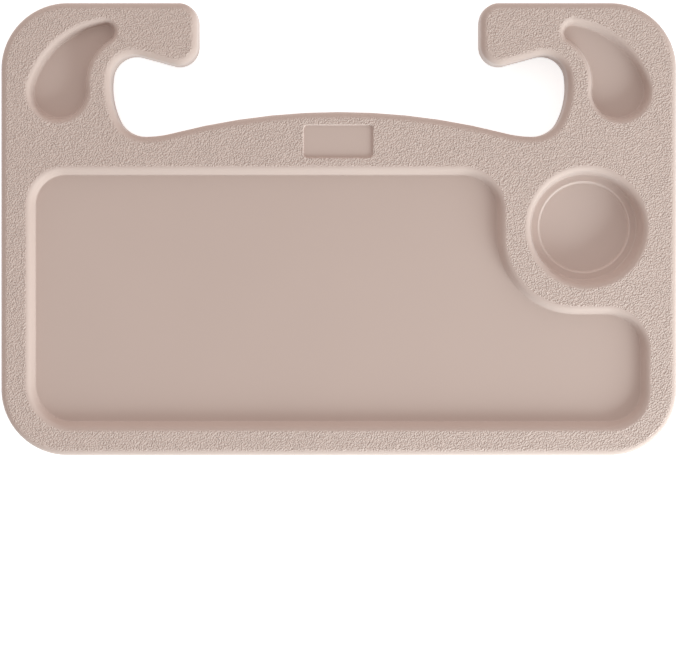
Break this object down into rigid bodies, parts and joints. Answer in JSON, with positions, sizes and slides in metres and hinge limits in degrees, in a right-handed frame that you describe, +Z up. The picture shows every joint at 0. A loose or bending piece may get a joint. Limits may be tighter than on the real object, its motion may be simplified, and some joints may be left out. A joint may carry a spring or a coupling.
{
  "type": "steering wheel tray",
  "caption": "Flat hollow tray that hooks on a steering wheel, with a shallow food well round a cup well, drop-shaped wells in its hooks and a flat back with a pen groove.",
  "frame": {"origin": "middle of the tray's outline, on the plane of its flat back face, which it rests on", "axes": "+X to the right along the wide side, with the cup well on the right, +Y towards the hooks that go on the wheel, +Z up out of the face with the wells"},
  "size_m": [0.425, 0.285, 0.025],
  "materials": {
    "face_plastic": "beige moulded plastic, fine leather grain on the face and smooth in the wells",
    "back_plastic": "beige moulded plastic, fine grain on the flat back and smooth in the pen groove"
  },
  "bodies": {
    "root": {"face_shell": "face_plastic", "back_shell": "back_plastic"}
  },
  "joints": []
}
